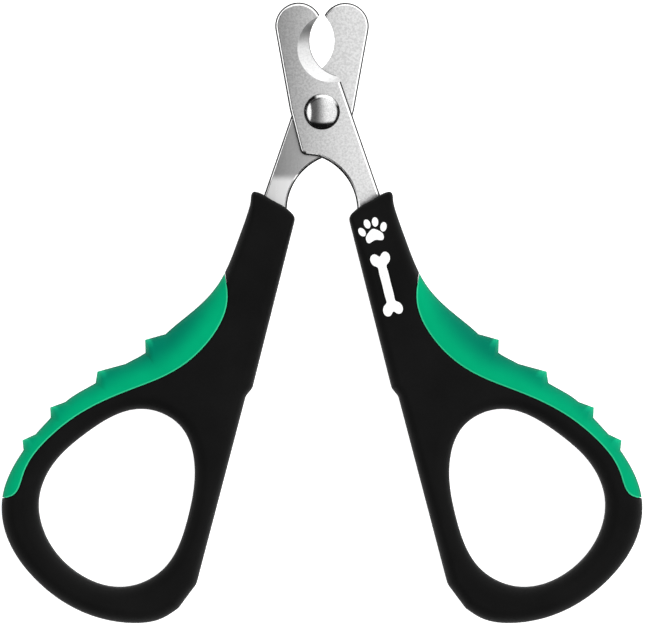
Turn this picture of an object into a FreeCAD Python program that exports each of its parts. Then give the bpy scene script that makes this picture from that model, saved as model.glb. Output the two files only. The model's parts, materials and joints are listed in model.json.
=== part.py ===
import FreeCAD, Part
import math
import os

# Small pet nail scissors, lying open on a table. Sizes are in millimetres.
#
# One half is drawn: the right half, whose blade is the upper one. Its drawing frame has the
# rivet's axis at x = y = 0 and the plane where the blades slide past each other at z = 0.
# The left half is the same half turned 180 degrees about the drawing's Y axis.
# The finished frame has its origin on the table, under the middle of the bounding box.

HANDLE_THICKNESS = 9.0
EDGE_ROUNDING = 1.4
PIVOT_Y = 39.15
SHEAR_Z = HANDLE_THICKNESS / 2

# Blades
BLADE_THICKNESS = 1.6
BLADE_GAP = 0.06
OUTER_CHAMFER = 0.6
INNER_CHAMFER = 0.5
HEAD_CENTRE = (-4.55, 16.72)
HEAD_RADIUS = 4.6
EDGE_CENTRE = (4.57, 13.88)
EDGE_RADIUS = 7.0
BEVEL_CENTRE = (1.90, 12.40)
BEVEL_RADIUS = 6.7
CROOK_CENTRE = (-4.37, -19.35)
CROOK_RADIUS = 11.25
ANCHOR_HOLES = ((10.6, -25.5), (13.9, -39.5))
ANCHOR_HOLE_RADIUS = 1.1

# Rivet and washer
SHANK_RADIUS = 2.0
RUNNING_CLEARANCE = 0.04
DOME_RADIUS = 3.5
DOME_RIM = 0.3
DOME_HEIGHT = 1.45
WASHER_RADIUS = 3.5
WASHER_THICKNESS = 0.5
TAIL_RADIUS = 2.7
TAIL_HEIGHT = 0.7

# Handle: the inner faces lie on lines through the rivet's axis
FACE_ANGLE = 14.2
NOSE_CORNER = (5.06, -20.0)
NOSE_RADIUS = 2.2
SHOULDER_CORNER = (13.45, -14.95)
SHOULDER_RADIUS = 1.5
CORE_HALF_THICKNESS = 2.4
HOLE_CENTRE = (39.8, -75.2)
CORE_FROM_HOLE = 1.8
CORE_RING_WIDTH = 2.4
FIN_HALF_THICKNESS = 3.2
FIN_DRAFT = 0.6
FINGER_HOLE = (
    (34.6, -57.9), (46.3, -62.8), (52.7, -69.0), (55.2, -75.6), (53.8, -82.8), (48.6, -89.2),
    (38.8, -92.6), (30.9, -89.1), (26.1, -79.0), (24.8, -69.6), (27.6, -61.2),
)
# Each fin: foot of its slope, tip, foot of its steep face
FINS = (
    ((30.5, -43.3), (34.5, -44.4), (34.2, -46.8)),
    ((38.3, -49.1), (43.8, -50.6), (43.9, -52.7)),
    ((50.0, -56.5), (53.0, -57.6), (52.7, -59.4)),
    ((55.8, -62.8), (58.4, -64.0), (58.0, -65.7)),
)


def point(xy, z=0.0):
    return FreeCAD.Vector(xy[0], xy[1], z)


def on_circle(centre, radius, degrees):
    angle = math.radians(degrees)
    return (centre[0] + radius * math.cos(angle), centre[1] + radius * math.sin(angle))


def on_inner_face(y):
    return (-y * math.tan(math.radians(FACE_ANGLE)), y)


def line(start, end):
    return Part.LineSegment(point(start), point(end)).toShape()


def arc(start, via, end):
    return Part.Arc(point(start), point(via), point(end)).toShape()


def curve(points, start_slope=None, end_slope=None):
    spline = Part.BSplineCurve()
    places = [point(p) for p in points]
    if start_slope:
        spline.interpolate(Points=places, InitialTangent=start_slope, FinalTangent=end_slope)
    else:
        spline.interpolate(places)
    return spline.toShape()


def closed_curve(points):
    spline = Part.BSplineCurve()
    spline.interpolate(Points=[point(p) for p in points], PeriodicFlag=True)
    return Part.Wire(spline.toShape())


def plate(wire, low, high):
    face = Part.Face(wire)
    face.translate(FreeCAD.Vector(0, 0, low))
    return face.extrude(FreeCAD.Vector(0, 0, high - low))


def cylinder(radius, low, high, centre=(0.0, 0.0)):
    return Part.makeCylinder(radius, high - low, point(centre, low))


def blade_outline():
    """The blade's blank: jaw, heel, crook under the rivet and the tang inside the handle."""
    head_right = on_circle(HEAD_CENTRE, HEAD_RADIUS, 0)
    head_top = on_circle(HEAD_CENTRE, HEAD_RADIUS, 95)
    head_left = on_circle(HEAD_CENTRE, HEAD_RADIUS, 190)
    waist = (-6.3, 0.5)
    heel_start = (-4.35, -7.1)
    heel_turn = (-3.95, -7.95)
    heel_end = (-3.1, -8.4)
    crook_start = on_circle(CROOK_CENTRE, CROOK_RADIUS, 72)
    crook_middle = on_circle(CROOK_CENTRE, CROOK_RADIUS, 38)
    crook_end = on_circle(CROOK_CENTRE, CROOK_RADIUS, 0)
    tang_left = (12.9, -43.6)
    tang_end = (15.5, -46.0)
    tang_right = (17.3, -43.2)
    tang_neck = (12.2, -18.8)
    back_top = (2.26, 10.0)
    return Part.Wire([
        arc(head_right, head_top, head_left),
        line(head_left, waist),
        line(waist, heel_start),
        arc(heel_start, heel_turn, heel_end),
        line(heel_end, crook_start),
        arc(crook_start, crook_middle, crook_end),
        line(crook_end, tang_left),
        arc(tang_left, tang_end, tang_right),
        line(tang_right, tang_neck),
        line(tang_neck, back_top),
        line(back_top, head_right),
    ])


def bevel_section(low, high, z):
    """The crescent's circle at height z, in line between the cutting edge and the outer face."""
    share = (z - low) / (high - low)
    x = EDGE_CENTRE[0] + share * (BEVEL_CENTRE[0] - EDGE_CENTRE[0])
    y = EDGE_CENTRE[1] + share * (BEVEL_CENTRE[1] - EDGE_CENTRE[1])
    radius = EDGE_RADIUS + share * (BEVEL_RADIUS - EDGE_RADIUS)
    return Part.Wire(Part.Circle(FreeCAD.Vector(x, y, z), FreeCAD.Vector(0, 0, 1), radius).toShape())


def in_handle(edge):
    return edge.BoundBox.YMin < -25


def is_blank_edge(edge, z):
    box = edge.BoundBox
    return abs(box.ZMin - z) < 1e-4 and abs(box.ZMax - z) < 1e-4 and not in_handle(edge)


def make_blade(hole_radius):
    low = BLADE_GAP / 2
    high = low + BLADE_THICKNESS
    blade = plate(blade_outline(), low, high)
    for size, z in ((OUTER_CHAMFER, high), (INNER_CHAMFER, low)):
        blade = blade.makeChamfer(size, [e for e in blade.Edges if is_blank_edge(e, z)])
    below = bevel_section(low, high, low - 1)
    above = bevel_section(low, high, high + 1)
    blade = blade.cut(Part.makeLoft([below, above], True, True))
    blade = blade.cut(cylinder(hole_radius, low - 1, high + 1))
    for centre in ANCHOR_HOLES:
        blade = blade.cut(cylinder(ANCHOR_HOLE_RADIUS, low - 1, high + 1, centre))
    return blade


def dome(radius, height, base_z, direction):
    """A low spherical cap standing on the plane z = base_z."""
    sphere_radius = (radius**2 + height**2) / (2 * height)
    centre = FreeCAD.Vector(0, 0, base_z + direction * (height - sphere_radius))
    ball = Part.makeSphere(sphere_radius, centre)
    far_z = base_z + direction * height
    keep = cylinder(radius, min(base_z, far_z), max(base_z, far_z))
    return ball.common(keep)


def make_rivet():
    """Domed head on the upper blade, shank through both blades, tail spread over the washer."""
    outer_face = BLADE_GAP / 2 + BLADE_THICKNESS
    washer_back = -outer_face - RUNNING_CLEARANCE - WASHER_THICKNESS
    shank = cylinder(SHANK_RADIUS, washer_back, outer_face)
    rim = cylinder(DOME_RADIUS, outer_face, outer_face + DOME_RIM)
    head = dome(DOME_RADIUS, DOME_HEIGHT, outer_face + DOME_RIM, 1)
    tail = dome(TAIL_RADIUS, TAIL_HEIGHT, washer_back, -1)
    return shank.fuse([rim, head, tail]).removeSplitter()


def make_washer():
    top = -(BLADE_GAP / 2 + BLADE_THICKNESS) - RUNNING_CLEARANCE
    disc = cylinder(WASHER_RADIUS, top - WASHER_THICKNESS, top)
    disc = disc.makeChamfer(0.15, [e for e in disc.Edges if abs(e.BoundBox.ZMax - disc.BoundBox.ZMin) < 1e-4])
    return disc.cut(cylinder(SHANK_RADIUS, top - 1, top + 1))


def corner_points(before, corner, after, radius):
    """Start, middle and end of the arc that rounds the corner between two straight lines."""
    apex = point(corner)
    back = (point(before) - apex).normalize()
    ahead = (point(after) - apex).normalize()
    half_angle = back.getAngle(ahead) / 2
    reach = radius / math.tan(half_angle)
    middle = (back + ahead).normalize() * (radius / math.sin(half_angle) - radius)
    ends = [apex + back * reach, apex + middle, apex + ahead * reach]
    return [(end.x, end.y) for end in ends]


def handle_outline():
    """The handle without its fins: nose, outer side, loop, inner side with its step."""
    step_high = on_inner_face(-53.8)
    step_low = (14.9, -55.4)
    nose_low, nose_turn, nose_high = corner_points(step_high, NOSE_CORNER, SHOULDER_CORNER, NOSE_RADIUS)
    shank = (14.4, -19.5)
    shoulder = corner_points(NOSE_CORNER, SHOULDER_CORNER, shank, SHOULDER_RADIUS)
    fin_feet = [foot for slope_foot, tip, steep_foot in FINS for foot in (slope_foot, steep_foot)]
    loop_end = (28.0, -96.7)
    loop_corner = (24.5, -92.0)
    outer_side = [
        shoulder[2], (16.4, -25.3), (20.4, -33.7), *fin_feet, (62.0, -73.4), (61.8, -81.5),
        (56.2, -90.7), (47.2, -97.2), (37.0, -99.6), (31.2, -98.7), loop_end,
    ]
    start_slope = point(shank) - point(SHOULDER_CORNER)
    end_slope = point(loop_corner) - point(loop_end)
    return Part.Wire([
        arc(nose_low, nose_turn, nose_high),
        line(nose_high, shoulder[0]),
        arc(*shoulder),
        curve(outer_side, start_slope, end_slope),
        line(loop_end, loop_corner),
        line(loop_corner, step_low),
        line(step_low, step_high),
        line(step_high, nose_low),
    ])


def grip_region():
    """Everything on the outer side of the line where the green grip meets the black cover."""
    border = [
        (18.9, -31.3), (18.4, -36.9), (21.8, -44.4), (28.6, -50.4), (37.9, -54.4), (47.4, -59.0),
        (54.1, -64.5), (58.0, -70.4), (60.0, -74.6), (62.4, -75.4),
    ]
    beyond = (80.0, -78.0)
    corner = (60.0, -20.0)
    return Part.Wire([
        curve(border),
        line(border[-1], beyond),
        line(beyond, corner),
        line(corner, border[0]),
    ])


def make_fin(slope_foot, tip, steep_foot):
    """A ridge across the grip, thinner at its tip than at its root."""
    root = ((slope_foot[0] + steep_foot[0]) / 2 - 1.6, (slope_foot[1] + steep_foot[1]) / 2 - 1.6)
    wire = Part.makePolygon([point(p) for p in (slope_foot, tip, steep_foot, root, slope_foot)])
    fin = plate(wire, -FIN_HALF_THICKNESS, FIN_HALF_THICKNESS)
    crests = [e for e in fin.Edges if abs(e.BoundBox.ZLength) < 1e-4 and e.BoundBox.XMax > tip[0] - 1e-4]
    return fin.makeChamfer(FIN_DRAFT, crests)


def around_hole(distance):
    """The finger hole's points moved away from its centre."""
    centre = point(HOLE_CENTRE)
    moved = []
    for xy in FINGER_HOLE:
        outward = (point(xy) - centre).normalize()
        place = point(xy) + outward * distance
        moved.append((place.x, place.y))
    return moved


def make_core(blade):
    """Hard skeleton: a bar moulded round the tang and a ring round the finger hole."""
    ring_inside = closed_curve(around_hole(CORE_FROM_HOLE))
    ring_outside = closed_curve(around_hole(CORE_FROM_HOLE + CORE_RING_WIDTH))
    bar = ((7.9, -22.6), (12.9, -20.9), (19.3, -44.0), (28.0, -56.0), (21.8, -68.0), (15.2, -50.0))
    bar_wire = Part.makePolygon([point(p) for p in bar + bar[:1]])
    low = -CORE_HALF_THICKNESS
    high = CORE_HALF_THICKNESS
    core = plate(ring_outside, low, high).fuse(plate(bar_wire, low, high))
    core = core.cut(plate(ring_inside, low - 1, high + 1))
    return core.removeSplitter().cut(blade)


def make_handle(blade, core):
    """The black cover and the green grip, moulded round the core."""
    half = HANDLE_THICKNESS / 2
    body = plate(handle_outline(), -half, half)
    body = body.cut(plate(closed_curve(FINGER_HOLE), -half - 1, half + 1))
    rims = [e for e in body.Edges if e.BoundBox.ZLength < 1e-4]
    body = body.makeFillet(EDGE_ROUNDING, rims)
    region = plate(grip_region(), -half - 1, half + 1)
    inside = core.fuse(blade)
    cover = body.cut(region).cut(inside)
    grip = body.common(region)
    grip = grip.fuse([make_fin(*fin) for fin in FINS]).removeSplitter().cut(inside)
    return cover, grip


def to_table(shape, turned=False):
    placed = shape.copy()
    if turned:
        placed.rotate(FreeCAD.Vector(0, 0, 0), FreeCAD.Vector(0, 1, 0), 180)
    placed.translate(FreeCAD.Vector(0, PIVOT_Y, SHEAR_Z))
    return placed


def make_half(hole_radius):
    blade = make_blade(hole_radius)
    core = make_core(blade)
    cover, grip = make_handle(blade, core)
    return {"blade": blade, "handle_core": core, "handle_cover": cover, "fin_grip": grip}


def main():
    right = make_half(SHANK_RADIUS)
    left = make_half(SHANK_RADIUS + RUNNING_CLEARANCE)
    nodes = {
        "front_blade": to_table(right.pop("blade")),
        "back_blade": to_table(left.pop("blade"), turned=True),
        "pivot_rivet": to_table(make_rivet()),
        "rivet_washer": to_table(make_washer()),
    }
    for name, shape in right.items():
        nodes["right_" + name] = to_table(shape)
    for name, shape in left.items():
        nodes["left_" + name] = to_table(shape, turned=True)
    os.makedirs("parts", exist_ok=True)
    for name, shape in nodes.items():
        box = shape.BoundBox
        print(name, shape.ShapeType, len(shape.Solids), shape.isValid(), round(shape.Volume, 1),
              [round(v, 2) for v in (box.XMin, box.YMin, box.ZMin, box.XMax, box.YMax, box.ZMax)])
        shape.exportStep("parts/" + name + ".step")


main()
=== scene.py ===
import json
import math

import bpy
import numpy as np
from mathutils.geometry import delaunay_2d_cdt
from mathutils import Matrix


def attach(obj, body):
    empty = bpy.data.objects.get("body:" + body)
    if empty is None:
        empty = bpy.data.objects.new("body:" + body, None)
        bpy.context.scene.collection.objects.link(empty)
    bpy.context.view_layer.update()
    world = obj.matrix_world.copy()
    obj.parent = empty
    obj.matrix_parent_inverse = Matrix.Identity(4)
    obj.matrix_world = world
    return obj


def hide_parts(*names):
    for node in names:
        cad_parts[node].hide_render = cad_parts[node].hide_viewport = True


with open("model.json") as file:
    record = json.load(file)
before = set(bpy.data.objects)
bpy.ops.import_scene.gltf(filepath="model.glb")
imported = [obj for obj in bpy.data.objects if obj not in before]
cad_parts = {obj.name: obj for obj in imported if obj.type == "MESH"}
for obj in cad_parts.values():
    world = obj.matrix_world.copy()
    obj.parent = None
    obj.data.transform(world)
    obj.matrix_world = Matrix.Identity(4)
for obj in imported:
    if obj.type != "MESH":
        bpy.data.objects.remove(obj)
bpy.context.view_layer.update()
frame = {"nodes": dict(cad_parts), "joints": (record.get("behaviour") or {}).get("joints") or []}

# The handles are drawn in millimetres in the frame of the right half: the rivet's axis is at
# x = y = 0 and the shear plane is z = 0. The left half is the same, turned about the Y axis.
MM = 0.001
PIVOT = np.array(frame["joints"][0]["pos_m"])
HALF_THICKNESS = 4.5

# The base outline without its fins: x, y and how far in from the edge the surface is rounded
NOSE_AND_SHANK = [
    (5.39, -21.30, 0.9), (5.36, -20.72, 0.7), (5.62, -20.10, 0.7), (6.30, -19.38, 0.7),
    (7.30, -18.56, 0.8), (9.80, -17.18, 0.8), (12.74, -15.62, 0.8), (13.36, -15.60, 0.7),
    (13.70, -16.02, 0.7), (13.84, -17.00, 0.8), (14.40, -19.50, 1.3), (16.45, -25.30, 1.8),
    (18.90, -31.30, 2.1), (20.60, -34.10, 3.0), (24.80, -38.50, 5.2),
]
LOOP = [
    (60.9, -70.6, 2.7), (62.3, -75.3, 2.6), (61.8, -81.5, 2.6), (56.2, -90.7, 2.6),
    (47.2, -97.2, 2.6), (37.0, -99.6, 2.6), (31.2, -98.7, 2.4), (28.0, -96.7, 2.2),
]
# The inner side: x, y, corner radius, rounding
INNER_SIDE = [
    (28.0, -96.7, 0.0, 2.2), (24.5, -92.0, 2.6, 2.2), (14.9, -55.4, 1.2, 1.9),
    (13.6, -53.8, 1.2, 1.9), (7.59, -30.0, 0.0, 1.8), (5.39, -21.3, 0.0, 0.9),
]
FINGER_HOLE = [
    (34.6, -57.9), (46.3, -62.8), (52.7, -69.0), (55.2, -75.6), (53.8, -82.8), (48.6, -89.2),
    (38.8, -92.6), (30.9, -89.1), (26.1, -79.0), (24.8, -69.6), (27.6, -61.2),
]
HOLE_ROUNDING = 2.6
# Each fin: foot of its slope, tip, foot of its steep face, rounding at both feet
FINS = [
    ((30.5, -43.3), (34.5, -44.4), (34.2, -46.8), 6.6, 5.8),
    ((38.3, -49.1), (43.8, -50.6), (43.9, -52.7), 5.0, 4.3),
    ((50.0, -56.5), (53.0, -57.6), (52.7, -59.4), 3.8, 3.5),
    ((55.8, -62.8), (58.4, -64.0), (58.0, -65.7), 3.2, 3.0),
]
BORDER = [
    (18.9, -31.3), (18.4, -36.9), (21.8, -44.4), (28.6, -50.4), (37.9, -54.4), (47.4, -59.0),
    (54.1, -64.5), (58.0, -70.4), (60.0, -74.6), (62.3, -75.3),
]
# Both ends of the grip are points of the outline. The border is looked up from a point in the loop
GRIP_START = (18.90, -31.30, 2.1)
GRIP_END = (62.3, -75.3, 2.6)
BORDER_VIEW = np.array((10.0, -78.0))

# How finely outlines are cut, and the rows of points over a rounded edge
OUTLINE_STEP = 0.4
ROUNDING_ANGLES = np.radians([14, 26, 38, 50, 62, 76, 90])
ROUNDING_MARGIN = 1.15
# A wide rounding falls by up to this depth, and a narrow one by less
DEEPEST_ROUNDING = 4.3
ROUNDING_SCALE = 2.2

# The black part's mesh: its grid, and the room that the grid leaves round edges and border
GRID_X = (5, 63)
GRID_Y = (-100, -15)
GRID_STEP = 1.1
GRID_CLEARANCE = 0.5
BORDER_CLEARANCE = 0.9
SMALLEST_GAP = 0.02
# The groove along the border: its depth and width, and the rows of points beside it
LIP_DEPTH = 0.12
LIP_WIDTH = 0.25
LIP_ROWS = (0.1, 0.3, 0.7)
# Down the side wall, with the parting line: share of the height, and how far it stands out
WALL_ROWS = ((0.6, 0.0), (0.12, 0.0), (0.0, 0.05), (-0.12, 0.0), (-0.6, 0.0))

# The green part's cross-section: a bead along the border (distance and height), the angles
# of its points towards the outer edge, and the rows down to mid thickness
BEAD = np.array(((0.0, -LIP_DEPTH), (0.1, 0.03), (0.25, 0.08), (0.8, 0.03)))
NARROW_SECTION = 2.2
OUTER_ANGLES = np.radians((79, 68, 58, 49, 41, 33, 26, 19, 12, 6, 0))
DOWN_LEVELS = np.array((0.66, 0.33, 0.0))
# The rows down the side: how much painted shade round the outer edge they carry
DOWN_RIM = (1.0, 0.7, 0.85)
# and how much painted highlight of a fin's facet they carry
DOWN_FACET = (0.5, 0.35, 0.3)
# Its cross-sections along the handle
SECTION_STEP = 0.45
END_GAP = 0.25
FOOT_GAP = 0.3
VALLEY_AFTER = 0.25
NEXT_AFTER = 0.6
SLOPE_SHARES = np.array((0.0, 0.12, 0.25, 0.4, 0.55, 0.7, 0.85, 1.0))
STEEP_SHARES = (0.0, 0.08, 0.5, 0.92, 1.0)
FACET_WIDTH = 0.8
FACET_FALL = 0.7
# The roll attribute is 1 where the rounding is this much wider than the way to the edge
ROLL_UNIT = 6.0

# The print: its middle, the bone's place and length, and the slab's rows over the surface
PAW_CENTRE = np.array((9.95, -23.3))
BONE_AFTER_PAW = 10.6
BONE_LENGTH = 12.4
SHANK_TILT = math.radians(14.2)
PRINT_FOOT = -0.02
PRINT_TOP = 0.03
PRINT_BEVEL = 0.015


# ---------------------------------------------------------------- plane curves

def spline(points, closed=False):
    """Cubic curve through the points. Returns its knots and a function from knot to place."""
    places = np.array(points, float)
    if closed:
        places = np.vstack([places, places[:1]])
    gaps = np.linalg.norm(np.diff(places[:, :2], axis=0), axis=1)
    knots = np.concatenate([[0.0], np.cumsum(gaps)])
    slopes = np.diff(places, axis=0) / gaps[:, None]
    count = len(places)
    matrix = np.eye(count)
    right = np.zeros_like(places)
    for i in range(1, count - 1):
        matrix[i, i - 1 : i + 2] = gaps[i - 1], 2 * (gaps[i - 1] + gaps[i]), gaps[i]
        right[i] = 6 * (slopes[i] - slopes[i - 1])
    if closed:
        matrix[0, -1] = -1
        matrix[-1, :] = 0
        matrix[-1, [0, 1, -2]] = 2 * (gaps[-1] + gaps[0]), gaps[0], gaps[-1]
        right[-1] = 6 * (slopes[0] - slopes[-1])
    bends = np.linalg.solve(matrix, right)

    def place(at):
        at = np.atleast_1d(at)
        i = np.clip(np.searchsorted(knots, at, side="right") - 1, 0, count - 2)
        gap = gaps[i][:, None]
        after = (at - knots[i])[:, None]
        before = gap - after
        curved = bends[i] * (before**3 / (6 * gap) - gap * before / 6)
        curved += bends[i + 1] * (after**3 / (6 * gap) - gap * after / 6)
        return places[i] * before / gap + places[i + 1] * after / gap + curved

    return knots, place


def sampled_spline(points, count, closed=False):
    knots, place = spline(points, closed)
    return place(np.linspace(0, knots[-1], count))


def rounded_path(corners):
    """Samples along straight runs whose corners are rounded: x, y and rounding."""
    path = [np.array(corners[0], float)[[0, 1, 3]]]
    for before, (x, y, radius, rounding), after in zip(corners, corners[1:], corners[2:]):
        apex = np.array((x, y))
        back = np.array(before[:2]) - apex
        ahead = np.array(after[:2]) - apex
        back /= np.linalg.norm(back)
        ahead /= np.linalg.norm(ahead)
        half_angle = math.acos(np.clip(back @ ahead, -1, 1)) / 2
        reach = radius / math.tan(half_angle) if radius else 0.0
        for share in np.linspace(0, 1, 9 if reach else 1):
            blend = (1 - share) ** 2 * back * reach + share**2 * ahead * reach
            path.append(np.array((*(apex + blend), rounding)))
    path.append(np.array(corners[-1], float)[[0, 1, 3]])
    return np.array(path)


def resample(path, step):
    """Evenly spaced places along a sampled line, with its other values."""
    gaps = np.linalg.norm(np.diff(path[:, :2], axis=0), axis=1)
    along = np.concatenate([[0.0], np.cumsum(gaps)])
    count = max(2, round(along[-1] / step) + 1)
    at = np.linspace(0, along[-1], count)
    return np.column_stack([np.interp(at, along, column) for column in path.T])


def nearest(points, loop, closed=True):
    """Distance from each point to a sampled line, and the line's own values there."""
    starts = loop
    ends = np.roll(loop, -1, axis=0)
    if not closed:
        starts, ends = starts[:-1], ends[:-1]
    run = (ends - starts)[:, :2]
    length = np.maximum((run**2).sum(1), 1e-12)
    distances = []
    values = []
    for chunk in np.array_split(points[:, :2], max(1, len(points) // 1500)):
        offset = chunk[:, None, :] - starts[None, :, :2]
        share = np.clip((offset * run).sum(2) / length, 0, 1)
        gap = np.linalg.norm(offset - share[..., None] * run, axis=2)
        best = gap.argmin(1)
        rows = np.arange(len(chunk))
        part = share[rows, best][:, None]
        distances.append(gap[rows, best])
        values.append(starts[best] * (1 - part) + ends[best] * part)
    return np.concatenate(distances), np.vstack(values)


def inside(points, loop):
    """Which points lie inside a closed sampled line."""
    result = np.zeros(len(points), bool)
    x, y = points[:, 0], points[:, 1]
    for (x0, y0), (x1, y1) in zip(loop[:, :2], np.roll(loop, -1, axis=0)[:, :2]):
        if y0 == y1:
            continue
        crosses = (y0 > y) != (y1 > y)
        result ^= crosses & (x < x0 + (y - y0) / (y1 - y0) * (x1 - x0))
    return result


def side_normals(loop, closed=True):
    """Unit normals to the left of the direction of travel."""
    if closed:
        along = np.roll(loop, -1, axis=0)[:, :2] - np.roll(loop, 1, axis=0)[:, :2]
    else:
        along = np.gradient(loop[:, :2], axis=0)
    along /= np.linalg.norm(along, axis=1)[:, None]
    return np.column_stack([-along[:, 1], along[:, 0]])


# ---------------------------------------------------------------- the handle's shape

fin_feet = [foot for f in FINS for foot in ((*f[0], f[3]), (*f[2], f[4]))]
outer_knots, outer_place = spline(NOSE_AND_SHANK + fin_feet + LOOP)
first_foot = len(NOSE_AND_SHANK)
grip_start = outer_knots[NOSE_AND_SHANK.index(GRIP_START)]
grip_end = outer_knots[first_foot + len(fin_feet) + LOOP.index(GRIP_END)]

outer_samples = outer_place(np.linspace(0, outer_knots[-1], 1500))
inner_samples = rounded_path(INNER_SIDE)
outline = resample(np.vstack([outer_samples, inner_samples[1:]]), OUTLINE_STEP)[:-1]
hole = resample(sampled_spline(FINGER_HOLE, 400, closed=True), OUTLINE_STEP)[:-1]
border = resample(sampled_spline(BORDER, 400), OUTLINE_STEP)


def rounding_drop(distance, width):
    """How far the surface lies below the flat face, at a distance from a rounded edge."""
    share = 1 - np.clip(distance / width, 0, 1)
    depth = DEEPEST_ROUNDING * (1 - np.exp(-width / ROUNDING_SCALE))
    return depth * (1 - np.sqrt(1 - share**2))


def surface_height(points):
    """Height of the handle's upper surface over the shear plane, fins left out."""
    distance, values = nearest(points, outline)
    hole_distance, _ = nearest(points, hole)
    drop = rounding_drop(distance, values[:, 2])
    drop += rounding_drop(hole_distance, np.full(len(points), HOLE_ROUNDING))
    return HALF_THICKNESS - drop


def edge_share(points):
    """1 on the rounded edges and 0 on the flat faces: where the black gets its painted sheen and
    painted edge shade.
    """
    distance, values = nearest(points, outline)
    hole_distance, _ = nearest(points, hole)
    share = np.minimum(distance / values[:, 2], hole_distance / HOLE_ROUNDING)
    return np.clip(1 - share, 0, 1)


def smooth_step(value, low, high):
    share = np.clip((value - low) / (high - low), 0, 1)
    return share * share * (3 - 2 * share)


def cover_outline():
    """The black part's own closed line: the outline without the grip's stretch, then the border."""
    after = outer_place(np.linspace(grip_end, outer_knots[-1], 800))
    before = outer_place(np.linspace(0, grip_start, 400))
    path = np.vstack([after, inner_samples[1:], before[1:]])
    return np.vstack([resample(path, OUTLINE_STEP)[:-1, :2], border[:-1]])


def rounding_points(loop, widths, sign):
    """Rows of points over a rounded edge, closer together where it is steep."""
    normals = side_normals(loop) * sign
    rings = []
    for angle in ROUNDING_ANGLES:
        depth = widths * (1 - np.cos(angle))
        ring = loop[:, :2] + normals * depth[:, None]
        distance, _ = nearest(ring, loop[:, :2])
        rings.append(ring[distance > 0.97 * depth])
    rings.append(loop[:, :2] + normals * (widths * ROUNDING_MARGIN)[:, None])
    return np.vstack(rings)


def free_points(loop):
    """Points inside the black part: rows over its rounded edges, a grid, and rows at the border."""
    grid_x, grid_y = np.meshgrid(np.arange(*GRID_X, GRID_STEP), np.arange(*GRID_Y, GRID_STEP))
    grid = np.column_stack([grid_x.ravel(), grid_y.ravel()])
    distance, values = nearest(grid, outline)
    hole_distance, _ = nearest(grid, hole)
    on_flat = distance > values[:, 2] * ROUNDING_MARGIN + GRID_CLEARANCE
    on_flat &= hole_distance > HOLE_ROUNDING * ROUNDING_MARGIN + GRID_CLEARANCE
    free = np.vstack([
        rounding_points(outline, outline[:, 2], -1),
        rounding_points(hole, np.full(len(hole), HOLE_ROUNDING), 1),
        grid[on_flat],
    ])
    border_distance, _ = nearest(free, border, closed=False)
    border_normals = side_normals(border, closed=False)
    lips = [(border - border_normals * reach)[1:-1] for reach in LIP_ROWS]
    free = np.vstack([free[border_distance > BORDER_CLEARANCE], *lips])
    loop_distance, _ = nearest(free, loop)
    hole_distance, _ = nearest(free, hole)
    clear = (loop_distance > SMALLEST_GAP) & (hole_distance > SMALLEST_GAP)
    return free[clear & inside(free, loop) & ~inside(free, hole)]


def closed_run(start, count):
    """Edges that join consecutive points into a closed line."""
    return [(start + i, start + (i + 1) % count) for i in range(count)]


def face_up(plan, triangles):
    """Turns the triangles that run clockwise."""
    corners = plan[triangles]
    first = corners[:, 1] - corners[:, 0]
    second = corners[:, 2] - corners[:, 0]
    clockwise = first[:, 0] * second[:, 1] < first[:, 1] * second[:, 0]
    triangles[clockwise] = triangles[clockwise][:, ::-1]


def cover_sheet():
    """Triangles of the black part's upper face, in plan."""
    loop = cover_outline()
    points = np.vstack([loop, hole, free_points(loop)])
    edges = closed_run(0, len(loop)) + closed_run(len(loop), len(hole))
    result = delaunay_2d_cdt([tuple(p) for p in points], edges, [], 0, 1e-5)
    plan = np.array([tuple(v) for v in result[0]])
    triangles = np.array(result[2])
    middle = plan[triangles].mean(1)
    triangles = triangles[inside(middle, loop) & ~inside(middle, hole)]
    face_up(plan, triangles)
    used = np.unique(triangles)
    renumber = np.full(len(plan), -1)
    renumber[used] = np.arange(len(used))
    return plan[used], renumber[triangles]


def open_edges(triangles):
    """Directed edges that only one triangle uses."""
    directed = {(t[i], t[(i + 1) % 3]) for t in triangles.tolist() for i in range(3)}
    return [edge for edge in directed if (edge[1], edge[0]) not in directed]


def outward_normals(plan, edges):
    """Unit normals in plan at the open edges' points, and 0 at all others."""
    outward = np.zeros((len(plan), 2))
    for start, end in edges:
        run = plan[end] - plan[start]
        side = np.array((run[1], -run[0])) / max(np.linalg.norm(run), 1e-9)
        outward[start] += side
        outward[end] += side
    return outward / np.maximum(np.linalg.norm(outward, axis=1), 1e-9)[:, None]


def wall_faces(edges, rim, count):
    """Quads down the side wall, from the upper face over the wall's rows to the lower face."""
    place = {v: i for i, v in enumerate(rim)}

    def vertex(v, row):
        if row == 0:
            return v
        if row > len(WALL_ROWS):
            return v + count
        return 2 * count + (row - 1) * len(rim) + place[v]

    return [
        (vertex(end, row), vertex(start, row), vertex(start, row + 1), vertex(end, row + 1))
        for start, end in edges
        for row in range(len(WALL_ROWS) + 1)
    ]


def cover_solid():
    """The black cover's closed skin: upper face, side walls with their parting line, lower face."""
    plan, triangles = cover_sheet()
    border_distance, _ = nearest(plan, border, closed=False)
    top = surface_height(plan) - LIP_DEPTH * (1 - smooth_step(border_distance, 0, LIP_WIDTH))
    edges = open_edges(triangles)
    rim = sorted({v for edge in edges for v in edge})
    outward = outward_normals(plan, edges)
    outward[border_distance < 0.05] = 0
    count = len(plan)
    vertices = [np.column_stack([plan, top]), np.column_stack([plan, -top])]
    for level, reach in WALL_ROWS:
        vertices.append(np.column_stack([plan[rim] + outward[rim] * reach, top[rim] * level]))
    faces = [tuple(t) for t in triangles.tolist()]
    faces += [tuple(c + count for c in reversed(t)) for t in triangles.tolist()]
    faces += wall_faces(edges, rim, count)
    skin = np.vstack(vertices)
    return skin, faces, {"edge_share": edge_share(skin[:, :2])}


# ---------------------------------------------------------------- the green grip

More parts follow.
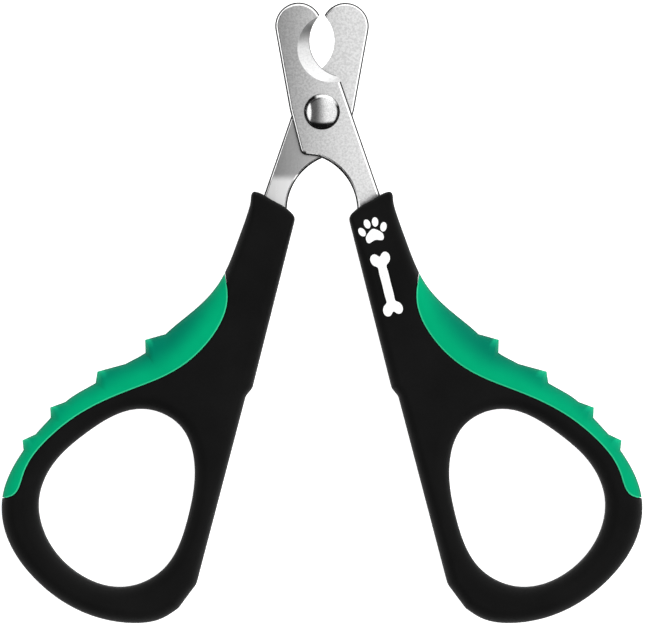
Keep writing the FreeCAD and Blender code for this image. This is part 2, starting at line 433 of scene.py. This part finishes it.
def border_at(root):
    """Where the border lies behind a point of the outline, looking from inside the loop."""
    seen = border - BORDER_VIEW
    angles = np.unwrap(np.arctan2(seen[:, 1], seen[:, 0]))
    sight = root - BORDER_VIEW
    angle = math.atan2(sight[1], sight[0])
    order = np.argsort(angles)
    return np.array([np.interp(angle, angles[order], column[order]) for column in border.T])


def grip_section(root, push, fall=0.0, facet=0.0):
    """One cross-section of the grip, from the border over the top and down to the middle.
    push moves the outer edge out to the fin, and fall lowers the moved part. The rows are
    x, y, z, nearness to the outer edge, and whether they lie on a fin's facet."""
    inner = border_at(root)
    width = np.linalg.norm(root - inner)
    across = (root - inner) / width
    bead = BEAD * min(1.0, width / NARROW_SECTION)
    from_root = (width - bead[-1, 0]) * (1 - np.cos(OUTER_ANGLES))
    along = np.concatenate([bead[:, 0], width - from_root])
    plan = inner + along[:, None] * across
    height = surface_height(plan)
    height[: len(bead)] += bead[:, 1]
    depth = width - along
    held = 1 - smooth_step(depth, 0.5, min(2.6, 0.7 * width))
    moved = plan + held[:, None] * push
    near_tip = 1 - smooth_step(depth, 0.3, 1.5)
    height -= fall * near_tip * np.clip(height / 1.5, 0, 1)
    moved = np.vstack([moved, np.repeat(moved[-1:], len(DOWN_LEVELS), axis=0)])
    height = np.concatenate([height, height[-1] * DOWN_LEVELS])
    # rim sets the painted shade round the outer edge
    rim = np.concatenate([1 - smooth_step(depth, 0.05, 0.3), DOWN_RIM])
    # on_facet sets the painted highlight on the fins' facets
    on_facet = facet * np.concatenate([near_tip, DOWN_FACET])
    upper = np.column_stack([moved, height, rim * (1 - on_facet), on_facet])
    lower = upper[-2::-1] * (1, 1, -1, 1, 1)
    return np.vstack([upper, lower])


def fin_sections(index):
    """Up the slope to the crest, over the narrow facet, and down the steep face."""
    slope_foot, tip, _, _, _ = FINS[index]
    foot_at = outer_knots[first_foot + 2 * index]
    back_at = outer_knots[first_foot + 2 * index + 1]
    line = np.array(tip) - np.array(slope_foot)
    crest_share = 1 - FACET_WIDTH / np.linalg.norm(line)
    sections = []
    for share in SLOPE_SHARES * crest_share:
        root = outer_place(foot_at + share * (back_at - foot_at))[0, :2]
        facet = 1.0 if share == crest_share else 0.0
        sections.append(grip_section(root, np.array(slope_foot) + share * line - root, 0.0, facet))
    root = outer_place(back_at)[0, :2]
    shoulder = grip_section(root, np.array(tip) - root, FACET_FALL, 1.0)
    valley = grip_section(outer_place(back_at + VALLEY_AFTER)[0, :2], np.zeros(2))
    sections += [shoulder * (1 - share) + valley * share for share in STEEP_SHARES]
    return sections


def smooth_stretch(low, high):
    """Cross-sections with no fin, between two knots of the outline."""
    count = max(2, round((high - low) / SECTION_STEP))
    roots = outer_place(np.linspace(low, high, count))[:, :2]
    return [grip_section(root, np.zeros(2)) for root in roots]


def grip_sections():
    sections = []
    reached = grip_start + END_GAP
    for index in range(len(FINS)):
        foot_at = outer_knots[first_foot + 2 * index]
        sections += smooth_stretch(reached, foot_at - FOOT_GAP)
        sections += fin_sections(index)
        reached = outer_knots[first_foot + 2 * index + 1] + NEXT_AFTER
    return sections + smooth_stretch(reached, grip_end - END_GAP)


def grip_solid():
    """The green grip's closed skin: the cross-sections joined in order, and its two ends."""
    sections = grip_sections()
    size = len(sections[0])
    vertices, rim, facet = np.split(np.vstack(sections), (3, 4), axis=1)
    faces = []
    for near in range(0, (len(sections) - 1) * size, size):
        far = near + size
        for j in range(size):
            after = (j + 1) % size
            faces.append((near + j, far + j, far + after, near + after))
    faces.append(tuple(range(size)))
    faces.append(tuple(reversed(range(len(vertices) - size, len(vertices)))))
    distance, values = nearest(vertices[:, :2], outline)
    # roll sets the painted shade where the grip rolls over its rounding
    roll = np.clip(values[:, 2] - distance, 0, None) / ROLL_UNIT
    return vertices, faces, {"rim": rim.ravel(), "facet": facet.ravel(), "roll": roll}


# ---------------------------------------------------------------- the printed marks

def ellipse(centre, size, tilt, steps=40):
    turn = np.linspace(0, 2 * math.pi, steps, endpoint=False)
    flat = np.column_stack([np.cos(turn) * size[0], np.sin(turn) * size[1]])
    cos, sin = math.cos(math.radians(tilt)), math.sin(math.radians(tilt))
    return flat @ np.array(((cos, sin), (-sin, cos))) + centre


def paw_marks():
    """A plain paw print: one heel pad and four toes, upright about the origin."""
    heel = [
        (0.0, 0.45), (-0.95, -0.05), (-1.75, -1.15), (-1.45, -2.05), (-0.75, -1.95), (0.0, -1.75),
        (0.75, -1.95), (1.45, -2.05), (1.75, -1.15), (0.95, -0.05),
    ]
    marks = [sampled_spline(heel, 61, closed=True)[:-1]]
    for x, y, tilt in ((-2.15, 0.35, 22), (-0.8, 1.65, 8), (0.8, 1.65, -8), (2.15, 0.35, -22)):
        marks.append(ellipse((x, y), (0.62, 0.92), tilt))
    return marks


def bone_mark():
    """A plain bone lying along Y, centred on the origin."""
    end = BONE_LENGTH / 2
    quarter = [
        (0.85, 0.0), (0.85, end - 3.4), (0.93, end - 2.6), (1.45, end - 2.2), (1.9, end - 1.4),
        (1.82, end - 0.5), (1.2, end), (0.55, end - 0.2), (0.0, end - 0.7),
    ]
    upper = quarter + [(-x, y) for x, y in quarter[-2::-1]]
    lower = [(-x, -y) for x, y in upper[1:-1]]
    return sampled_spline(upper + lower, 161, closed=True)[:-1]


def slab_solid(marks):
    """Thin raised prints on the cover: each closed line becomes a slab with a softened edge."""
    vertices = []
    faces = []
    for mark in marks:
        base = sum(len(v) for v in vertices)
        count = len(mark)
        inward = mark.mean(0) - mark
        inward /= np.linalg.norm(inward, axis=1)[:, None]
        rows = (
            (mark, PRINT_FOOT),
            (mark, PRINT_TOP - PRINT_BEVEL),
            (mark + inward * PRINT_BEVEL, PRINT_TOP),
        )
        for plan, height in rows:
            vertices.append(np.column_stack([plan, surface_height(plan) + height]))
        for near in (base, base + count):
            for i in range(count):
                after = (i + 1) % count
                faces.append((near + i, near + after, near + count + after, near + count + i))
        faces.append(tuple(base + i for i in reversed(range(count))))
        faces.append(tuple(base + 2 * count + i for i in range(count)))
    return np.vstack(vertices), faces, {}


def print_solid():
    """The marks in line with the shank, the paw towards the blades and the bone behind it."""
    along = np.array((math.sin(SHANK_TILT), -math.cos(SHANK_TILT)))
    across = np.array((math.cos(SHANK_TILT), math.sin(SHANK_TILT)))
    turn = np.array((across, -along))
    marks = [mark @ turn + PAW_CENTRE for mark in paw_marks()]
    marks.append(bone_mark() @ turn + PAW_CENTRE + along * BONE_AFTER_PAW)
    return slab_solid(marks)


# ---------------------------------------------------------------- pieces

def make_piece(name, vertices, faces, attributes, finish, turned=False):
    """A new object with its material. Its surface knows how far each point is from the border."""
    placed = vertices * (-1, 1, -1) if turned else vertices
    mesh = bpy.data.meshes.new(name)
    mesh.from_pydata((placed * MM + PIVOT).tolist(), [], faces)
    border_gap, _ = nearest(vertices[:, :2], border, closed=False)
    for key, values in {**attributes, "border_gap": border_gap}.items():
        layer = mesh.attributes.new(key, "FLOAT", "POINT")
        layer.data.foreach_set("value", values.astype(np.float32))
    mesh.shade_smooth()
    mesh.set_sharp_from_angle(angle=math.radians(38))
    mesh.materials.append(materials[finish])
    piece = bpy.data.objects.new(name, mesh)
    bpy.context.scene.collection.objects.link(piece)
    return piece


def make_handles():
    cover = cover_solid()
    grip = grip_solid()
    for side, body in (("right", "right_half"), ("left", "left_half")):
        turned = side == "left"
        piece = make_piece(side + "_cover_skin", *cover, "black", turned)
        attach(piece, body)
        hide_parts(side + "_handle_cover")
        piece = make_piece(side + "_grip_skin", *grip, "green", turned)
        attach(piece, body)
        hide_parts(side + "_fin_grip")
    marks = make_piece("handle_print", *print_solid(), "print")
    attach(marks, "right_half")


# ---------------------------------------------------------------- materials

class Nodes:
    """A node tree and short ways to add what it needs."""

    def __init__(self, tree):
        self.tree = tree

    def add(self, kind, settings=None, **links):
        node = self.tree.nodes.new(kind)
        for key, value in (settings or {}).items():
            if hasattr(node, key):
                setattr(node, key, value)
            else:
                node.inputs[key].default_value = value
        for socket, source in links.items():
            self.tree.links.new(source, node.inputs[socket])
        return node

    def connect(self, value, socket):
        """Links a node's output, or sets a plain value."""
        if hasattr(value, "links"):
            self.tree.links.new(value, socket)
        else:
            socket.default_value = value

    def object_place(self, scale=(1, 1, 1), turn=0.0):
        place = self.add("ShaderNodeTexCoord").outputs["Object"]
        settings = {"Scale": scale, "Rotation": (0, 0, turn)}
        return self.add("ShaderNodeMapping", settings, Vector=place).outputs["Vector"]

    def attribute(self, name):
        return self.add("ShaderNodeAttribute", {"attribute_name": name}).outputs["Fac"]

    def noise(self, vector, scale, detail=3.0, roughness=0.5):
        settings = {"Scale": scale, "Detail": detail, "Roughness": roughness}
        return self.add("ShaderNodeTexNoise", settings, Vector=vector).outputs["Fac"]

    def remap(self, value, low, high, to_low=0.0, to_high=1.0, smooth=False):
        settings = {"From Min": low, "From Max": high, "To Min": to_low, "To Max": to_high}
        if smooth:
            settings["interpolation_type"] = "SMOOTHSTEP"
        return self.add("ShaderNodeMapRange", settings, Value=value).outputs["Result"]

    def mix(self, factor, first, second):
        node = self.add("ShaderNodeMix", {"data_type": "RGBA"})
        for socket, value in ((0, factor), (6, first), (7, second)):
            self.connect(value, node.inputs[socket])
        return node.outputs[2]

    def math(self, operation, first, second=0.0):
        node = self.add("ShaderNodeMath", {"operation": operation})
        self.connect(first, node.inputs[0])
        self.connect(second, node.inputs[1])
        return node.outputs[0]

    def product(self, first, *others):
        for factor in others:
            first = self.math("MULTIPLY", first, factor)
        return first

    def total(self, first, *others):
        for term in others:
            first = self.math("ADD", first, term)
        return first

    def gap(self, value, middle):
        """How far a value is from this one, either way."""
        return self.math("ABSOLUTE", self.math("SUBTRACT", value, middle))

    def bump(self, height, strength, distance, under=None):
        settings = {"Strength": strength, "Distance": distance}
        node = self.add("ShaderNodeBump", settings, Height=height)
        if under:
            self.tree.links.new(under, node.inputs["Normal"])
        return node.outputs["Normal"]


class Surface(Nodes):
    """A Principled material."""

    def __init__(self, name, **values):
        self.material = bpy.data.materials.new(name)
        self.material.use_nodes = True
        super().__init__(self.material.node_tree)
        self.shader = self.tree.nodes["Principled BSDF"]
        for socket, value in values.items():
            self.shader.inputs[socket.replace("_", " ")].default_value = value

    def link(self, source, socket):
        self.tree.links.new(source, self.shader.inputs[socket])


def grey(value):
    return (value, value, value, 1)


def rubber_skin(surface, shade, roughness, grain):
    """Moulded rubber: fine spark-eroded grain in the gloss and in the surface."""
    place = surface.object_place()
    fine = surface.noise(place, 2600, 2, 0.6)
    specks = surface.noise(place, 7000, 1)
    surface.link(shade, "Base Color")
    surface.link(surface.remap(fine, 0.3, 0.7, roughness - 0.06, roughness + 0.06), "Roughness")
    under = surface.bump(fine, 0.35, grain)
    surface.link(surface.bump(specks, 0.25, grain / 2, under), "Normal")
    return surface.material


def black_rubber():
    """Soft-touch black, cloudy, with a painted sheen that makes the rounded edges a little lighter,
    and painted shade that makes it darkest on the steep outer edges, along the parting line, and
    down in the seam."""
    surface = Surface("black_rubber", Specular_IOR_Level=0.06)
    cloud = surface.noise(surface.object_place(), 90, 4)
    edge = surface.attribute("edge_share")
    # Painted sheen: the rounded edges are a little lighter, clouded
    painted_edge_sheen = surface.product(
        surface.remap(edge, 0.15, 0.8, smooth=True),
        surface.remap(cloud, 0.35, 0.65, 0.7, 1),
    )
    shade = surface.mix(surface.remap(cloud, 0.3, 0.7), grey(0.0035), grey(0.0055))
    shade = surface.mix(painted_edge_sheen, shade, grey(0.0075))
    # Painted shade: darkest on the steep outer edges and the side walls
    shade = surface.mix(surface.remap(edge, 0.75, 0.95), shade, grey(0.0005))
    # Painted shade down in the groove along the border
    seam = surface.remap(surface.attribute("border_gap"), 0.0002, 0.35, 0.85, 0)
    return rubber_skin(surface, surface.mix(seam, shade, grey(0.001)), 0.6, 0.03 * MM)


# FLAT_GREENS are the grip's own greens; the others are painted shade and painted highlights
FLAT_GREENS = ((0.0, 0.30, 0.135, 1), (0.0, 0.34, 0.15, 1))
ROLLED_SHADE_GREEN = (0.0, 0.165, 0.096, 1)
EDGE_SHADE_GREEN = (0.0, 0.10, 0.06, 1)
FACET_HIGHLIGHT_GREEN = (0.005, 0.42, 0.21, 1)
SEAM_HIGHLIGHT_GREEN = (0.04, 0.58, 0.28, 1)


def green_rubber():
    """Bright green, with painted shade where it rolls over, darkest painted shade round the outer
    edge, a painted highlight as a pale rim along the seam and painted highlights on the fins'
    facets."""
    surface = Surface("green_rubber", Specular_IOR_Level=0.02)
    cloud = surface.noise(surface.object_place(), 110, 4)
    roll = surface.remap(surface.attribute("roll"), 0.1, 0.95, smooth=True)
    facet = surface.product(surface.attribute("facet"), 0.7)
    # Painted highlight: a pale rim along the seam
    seam = surface.remap(surface.attribute("border_gap"), 0.12, 0.32, 1, 0)
    shade = surface.mix(surface.remap(cloud, 0.3, 0.7), *FLAT_GREENS)
    # Painted shade where the grip rolls over
    shade = surface.mix(roll, shade, ROLLED_SHADE_GREEN)
    # Painted shade, darkest round the outer edge and down the side wall
    shade = surface.mix(surface.attribute("rim"), shade, EDGE_SHADE_GREEN)
    # Painted highlight on the fins' facets
    shade = surface.mix(facet, shade, FACET_HIGHLIGHT_GREEN)
    return rubber_skin(surface, surface.mix(seam, shade, SEAM_HIGHLIGHT_GREEN), 0.55, 0.02 * MM)


def core_plastic():
    """Dark hard plastic. The covers hide it, apart from what shows through their mouths."""
    surface = Surface("core_plastic")
    cloud = surface.noise(surface.object_place(), 200, 3)
    return rubber_skin(surface, surface.mix(cloud, grey(0.018), grey(0.026)), 0.4, 0.02 * MM)


# How strongly the blades' faces are crowned across, and how they twist
CROWN = 11.2
TWIST = 0.085
# The two circles that bound the ground bevel: x, y, radius
NOTCH_EDGE = (4.57, 13.88, 7.0)
NOTCH_BEVEL = (1.90, 12.40, 6.7)
# The blade's side wall lies round this height over the shear plane, with a chamfer either side
WALL_MIDDLE = 0.78


class BladeSteel(Surface):
    """Stamped sheet steel. The side is 1 on the upper blade and -1 on the one turned over."""

    def __init__(self, name, grain_angle, side):
        super().__init__(name, Metallic=1.0)
        self.side = side
        self.turn = math.radians(grain_angle)
        coordinates = self.add("ShaderNodeTexCoord").outputs
        split = self.add("ShaderNodeSeparateXYZ", Vector=coordinates["Object"])
        self.x, self.y, z = split.outputs
        self.plan = self.add("ShaderNodeCombineXYZ", X=self.x, Y=self.y).outputs["Vector"]
        split = self.add("ShaderNodeSeparateXYZ", Vector=coordinates["Normal"])
        self.sideways, _, facing = split.outputs
        self.upright = self.math("ABSOLUTE", facing)
        from_shear = self.product(self.gap(z, PIVOT[2]), 1 / MM)
        self.from_wall = self.gap(from_shear, WALL_MIDDLE)
        self.notch = self.math(
            "MAXIMUM", self.inside_circle(NOTCH_EDGE, 0.03), self.inside_circle(NOTCH_BEVEL, 0.02)
        )
        self.bevel = self.product(self.remap(self.upright, 0.97, 0.99, 1, 0), self.notch)
        self.near_handle = self.up_blade(-13.7, -11.8, 1, 0, smooth=True)
        self.lines = self.noise(self.object_place((5200, 190, 600), self.turn), 1.0, 3, 0.6)
        self.mottle = self.noise(self.object_place(), 2300, 2, 0.7)

    def up_blade(self, low, high, *to, smooth=False):
        """Fades between two heights along the blade, in millimetres from the rivet."""
        return self.remap(self.y, PIVOT[1] + low * MM, PIVOT[1] + high * MM, *to, smooth=smooth)

    def inside_circle(self, circle, margin):
        """1 inside a circle of the drawing and 0 outside it."""
        x, y, radius = circle
        distance = self.add("ShaderNodeVectorMath", {"operation": "DISTANCE"})
        self.connect(self.plan, distance.inputs[0])
        distance.inputs[1].default_value = (self.side * x * MM, y * MM + PIVOT[1], 0)
        reach = (radius + margin) * MM
        return self.remap(distance.outputs["Value"], reach, reach + 0.03 * MM, 1, 0)

    def grain(self):
        """Long fine brush lines, mottled and clouded."""
        specks = self.noise(self.object_place(), 5200, 2)
        cloud = self.noise(self.object_place(), 160, 3)
        tone = self.mix(self.remap(self.lines, 0.3, 0.7), grey(0.66), grey(0.72))
        tone = self.mix(self.remap(self.mottle, 0.4, 0.62, 0, 0.8), tone, grey(0.49))
        tone = self.mix(self.remap(specks, 0.62, 0.75, 0, 0.35), tone, grey(0.5))
        return self.mix(self.remap(cloud, 0.35, 0.7, 0, 0.25), tone, grey(0.56))

    def painted_tang_light(self, tone):
        """Painted shade below the rivet, and a painted reflection: a bright stretch near the
        handle.
        """
        tone = self.mix(self.up_blade(-4, -1, 0.75, 0, smooth=True), tone, grey(0.5))
        return self.mix(self.near_handle, tone, grey(0.75))

    def ground_bevel(self, tone):
        """A painted reflection: bright, with painted shade towards the tip and a dark painted line
        along its keen edge.
        """
        ground = self.mix(self.remap(self.mottle, 0.4, 0.62), grey(0.84), grey(0.74))
        to_tip = self.up_blade(12.2, 16.8, smooth=True)
        tone = self.mix(self.bevel, tone, self.mix(to_tip, ground, grey(0.2)))
        keen_edge = self.product(self.bevel, self.inside_circle(NOTCH_EDGE, 0.14))
        return self.mix(keen_edge, tone, grey(0.3))

    def chamfers(self, tone):
        """Chamfers with a painted highlight and a dark line of painted shade next to the side wall,
        which is painted darker too. Those that face left carry a second dark painted line, from the
        head down to the crook."""
        chamfer = self.product(
            self.remap(self.upright, 0.90, 0.95, 1, 0),
            self.math("SUBTRACT", 1.0, self.notch),
        )
        # Painted shade: a dark line on the chamfer next to the side wall
        painted_edge_shade = self.product(chamfer, self.remap(self.from_wall, 0.52, 0.58, 1, 0))
        wall = self.product(chamfer, self.remap(self.from_wall, 0.15, 0.22, 1, 0))
        line_start, crook = (0.70, -8) if self.side == 1 else (0.64, -30)
        line = self.product(
            chamfer,
            self.remap(self.sideways, -0.5, -0.3, 1, 0),
            self.up_blade(crook, crook + 1),
            self.remap(self.from_wall, line_start, line_start + 0.04),
        )
        tone = self.mix(chamfer, tone, grey(0.97))
        tone = self.mix(painted_edge_shade, tone, grey(0.035))
        tone = self.mix(line, tone, grey(0.06))
        return self.mix(wall, tone, grey(0.4))


def brushed_steel(name, grain_angle, side=1, painted_tang_light=False):
    """Long fine brush lines run along the blade, whose faces are very slightly crowned and
    twisted. A tang given painted shade and a painted reflection is also tilted near the handle."""
    steel = BladeSteel(name, grain_angle, side)
    tone = steel.grain()
    crown = steel.product(steel.x, steel.x, -CROWN)
    crown = steel.math("SUBTRACT", crown, steel.product(steel.x, TWIST))
    if painted_tang_light:
        tone = steel.painted_tang_light(tone)
        tilt = steel.product(steel.total(steel.x, 7.8 * MM), steel.near_handle, -0.19)
        crown = steel.total(crown, tilt)
    # Painted highlights, shade and reflections on the ground bevel and the chamfers
    tone = steel.chamfers(steel.ground_bevel(tone))
    rough = steel.remap(steel.lines, 0.3, 0.7, 0.27, 0.39)
    rough = steel.total(rough, steel.product(steel.bevel, 0.12))
    threads = steel.noise(steel.object_place((16000, 420, 1500), steel.turn), 1.0, 2, 0.6)
    under = steel.bump(crown, 1.0, 1.0)
    under = steel.bump(steel.lines, 0.25, 0.02 * MM, under)
    steel.link(tone, "Base Color")
    steel.link(rough, "Roughness")
    steel.link(steel.bump(threads, 0.2, 0.01 * MM, under), "Normal")
    return steel.material


def polished_steel(name):
    """A polished rivet head: faint haze, fine specks and hairline scratches."""
    surface = Surface(name, Metallic=1.0)
    haze = surface.noise(surface.object_place(), 900, 4, 0.6)
    specks = surface.noise(surface.object_place(), 4200, 2, 0.7)
    scratches = surface.noise(surface.object_place((9000, 500, 2500), 0.6), 1.0, 2)
    tone = surface.mix(haze, grey(0.72), grey(0.64))
    tone = surface.mix(surface.remap(specks, 0.42, 0.66, 0, 0.7), tone, grey(0.46))
    surface.link(tone, "Base Color")
    surface.link(surface.remap(haze, 0.3, 0.7, 0.08, 0.16), "Roughness")
    surface.link(surface.bump(scratches, 0.08, 0.01 * MM), "Normal")
    return surface.material


def print_ink():
    """White ink on rubber: a little uneven, with tiny gaps."""
    surface = Surface("white_ink")
    cover = surface.noise(surface.object_place(), 3200, 3)
    gaps = surface.remap(cover, 0.3, 0.42, 1, 0)
    surface.link(surface.mix(gaps, grey(0.9), grey(0.6)), "Base Color")
    surface.link(surface.remap(cover, 0.3, 0.7, 0.45, 0.6), "Roughness")
    surface.link(surface.bump(cover, 0.2, 0.01 * MM), "Normal")
    return surface.material


materials = {
    "black": black_rubber(),
    "green": green_rubber(),
    "front_steel": brushed_steel("front_blade_steel", 14),
    "back_steel": brushed_steel("back_blade_steel", -14, -1, painted_tang_light=True),
    "washer_steel": brushed_steel("washer_steel", 40),
    "rivet_steel": polished_steel("rivet_steel"),
    "print": print_ink(),
    "core": core_plastic(),
}


def dress_cad():
    """The metal pieces and the hidden cores keep their CAD shape and get their material."""
    finishes = {
        "front_blade": "front_steel",
        "back_blade": "back_steel",
        "pivot_rivet": "rivet_steel",
        "rivet_washer": "washer_steel",
        "right_handle_core": "core",
        "left_handle_core": "core",
    }
    for node, finish in finishes.items():
        mesh = frame["nodes"][node].data
        mesh.materials.clear()
        mesh.materials.append(materials[finish])


# ---------------------------------------------------------------- stage, light and camera

STAGE_REACH = 6.0
WALL_HEIGHT = 1.5
FLOOR_GAP = 0.1 * MM
LIGHT_SIZE = 0.7
LIGHT_HEIGHT = 0.9
LIGHT_POWER = 5
# The camera looks straight down from far away, on a spot next to the origin
CAMERA_AIM = (0.0001, 0.00005)
VIEW_WIDTH = 0.12578
LENS = 400
SENSOR_WIDTH = 36


def stage_piece(name, corners, faces, glow):
    mesh = bpy.data.meshes.new(name)
    mesh.from_pydata(corners, [], faces)
    paint = Surface(
        name + "_paint",
        Base_Color=grey(0.9),
        Roughness=0.9,
        Emission_Color=grey(1),
        Emission_Strength=glow,
    )
    mesh.materials.append(paint.material)
    piece = bpy.data.objects.new(name, mesh)
    bpy.context.scene.collection.objects.link(piece)
    return piece


def make_stage():
    """A faintly glowing pale floor, and a pale wall far behind it all round, seen only by the
    camera."""
    reach = STAGE_REACH
    corners = [(-reach, -reach, 0), (reach, -reach, 0), (reach, reach, 0), (-reach, reach, 0)]
    floor = stage_piece("floor", corners, [(0, 1, 2, 3)], 0.7)
    floor.location.z = -FLOOR_GAP
    top = [(x, y, WALL_HEIGHT) for x, y, _ in corners]
    sides = [(i, (i + 1) % 4, 4 + (i + 1) % 4, 4 + i) for i in range(4)]
    wall = stage_piece("wall", corners + top, sides, 1.0)
    wall.visible_diffuse = False
    wall.visible_glossy = False
    wall.visible_shadow = False


def big_window(nodes, x, y):
    """A wide soft window, brightest at the right and cut off towards the camera's bottom edge."""
    curved = nodes.math("SUBTRACT", y, nodes.product(x, x, 0.3))
    return nodes.product(
        nodes.remap(x, -0.53, 0.55, 0.15, 1.34, smooth=True),
        nodes.remap(curved, -0.84, -0.70, smooth=True),
    )


def left_window(nodes, x, y):
    """A narrow upright window low on the left."""
    return nodes.product(
        nodes.remap(x, -0.79, -0.74, 1.5, 0, smooth=True),
        nodes.remap(nodes.gap(y, 0.0), 0.56, 0.66, 1, 0, smooth=True),
    )


def far_slit(nodes, x, y, z):
    """A thin bright slit low at the far side."""
    return nodes.product(
        nodes.remap(z, 0.05, 0.12),
        nodes.remap(z, 0.30, 0.37, 1, 0),
        nodes.remap(y, 0.7, 0.8),
        nodes.remap(x, -0.45, -0.30),
    )


def far_beam(nodes, x, y, z):
    """A dark beam just above the slit, on its left half."""
    return nodes.product(
        nodes.remap(nodes.gap(z, 0.41), 0.03, 0.07, 0.8, 0, smooth=True),
        nodes.remap(y, 0.5, 0.65),
        nodes.remap(x, -0.25, 0.0, 1, 0, smooth=True),
    )


def over_horizon(nodes, x, y, z):
    """1 well above the horizon and 0 near it, where it reaches lower at the far right."""
    low_part = nodes.product(
        nodes.remap(z, 0.06, 0.16), nodes.remap(y, 0.35, 0.6), nodes.remap(x, -0.5, -0.1)
    )
    return nodes.math("MAXIMUM", nodes.remap(z, 0.25, 0.36, smooth=True), low_part)


def make_sky():
    """A studio round the object. The polished steel mirrors its windows, the beam and the dark
    near the horizon."""
    world = bpy.data.worlds.new("studio")
    world.use_nodes = True
    nodes = Nodes(world.node_tree)
    direction = nodes.add("ShaderNodeTexCoord").outputs["Generated"]
    x, y, z = nodes.add("ShaderNodeSeparateXYZ", Vector=direction).outputs
    slit = far_slit(nodes, x, y, z)
    far_glow = nodes.product(nodes.remap(y, 0.5, 0.75), nodes.remap(x, -0.15, 0.1), 0.22)
    light = nodes.total(big_window(nodes, x, y), left_window(nodes, x, y), slit, far_glow)
    light = nodes.product(light, nodes.math("SUBTRACT", 1.0, far_beam(nodes, x, y, z)))
    above = nodes.math("MAXIMUM", over_horizon(nodes, x, y, z), slit)
    background = nodes.tree.nodes["Background"].inputs
    nodes.connect(nodes.total(nodes.product(light, above), 0.008), background["Strength"])
    background["Color"].default_value = grey(1)
    bpy.context.scene.world = world


def make_overhead_light():
    """A wide soft light straight above. It lights the rubber and the floor, and is left out of
    reflections, where the windows of the sky show."""
    light = bpy.data.lights.new("overhead_light", "AREA")
    light.size = LIGHT_SIZE
    light.energy = LIGHT_POWER
    lamp = bpy.data.objects.new("overhead_light", light)
    lamp.location = (0.0, 0.0, LIGHT_HEIGHT)
    lamp.visible_camera = False
    lamp.visible_glossy = False
    bpy.context.scene.collection.objects.link(lamp)


def make_camera():
    camera = bpy.data.cameras.new("camera")
    camera.lens = LENS
    camera.sensor_width = SENSOR_WIDTH
    camera.clip_end = 10
    place = bpy.data.objects.new("camera", camera)
    place.location = (*CAMERA_AIM, HALF_THICKNESS * MM + VIEW_WIDTH * LENS / SENSOR_WIDTH)
    bpy.context.scene.collection.objects.link(place)
    bpy.context.scene.camera = place
    bpy.context.scene.view_settings.view_transform = "Standard"


make_camera()
make_stage()
make_sky()
make_overhead_light()
dress_cad()
make_handles()
